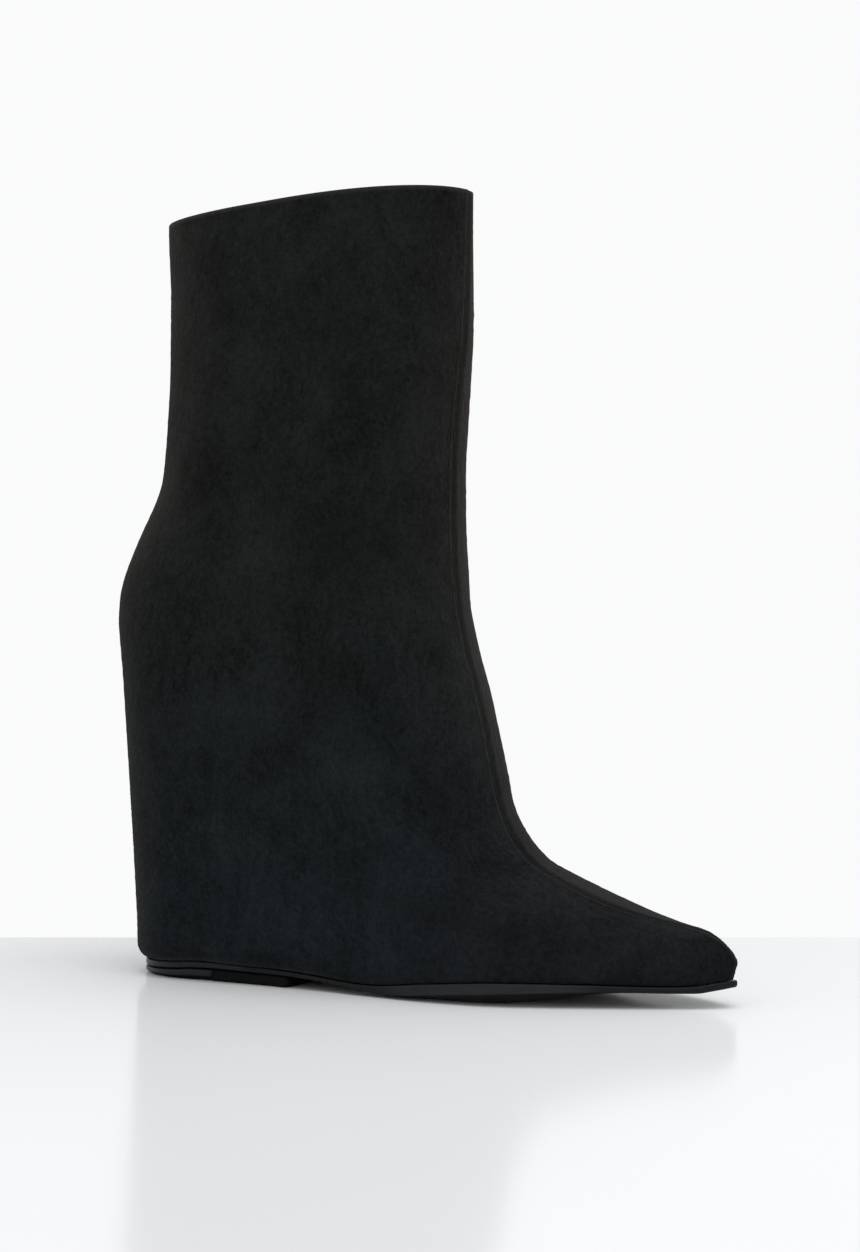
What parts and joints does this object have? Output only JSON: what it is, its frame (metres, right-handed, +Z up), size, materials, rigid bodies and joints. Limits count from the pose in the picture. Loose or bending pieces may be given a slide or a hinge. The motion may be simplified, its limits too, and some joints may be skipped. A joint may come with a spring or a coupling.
{
  "type": "ankle boot",
  "caption": "Right ankle boot in soft napped material with a pointed toe, a wedge hidden under the upper and a thin rubber sole.",
  "frame": {"origin": "on the floor under the middle of the boot's bounding box", "axes": "+X toward the toe, +Y toward the inner side of the foot, +Z up"},
  "size_m": [0.2248, 0.073, 0.2644],
  "materials": {
    "upper": "napped",
    "wedge": "matte",
    "insole": "matte",
    "outsole": "satin",
    "top_lift": "satin"
  },
  "bodies": {
    "root": {"upper": "upper", "wedge": "wedge", "insole": "insole", "outsole": "outsole", "top_lift": "top_lift"}
  },
  "joints": []
}
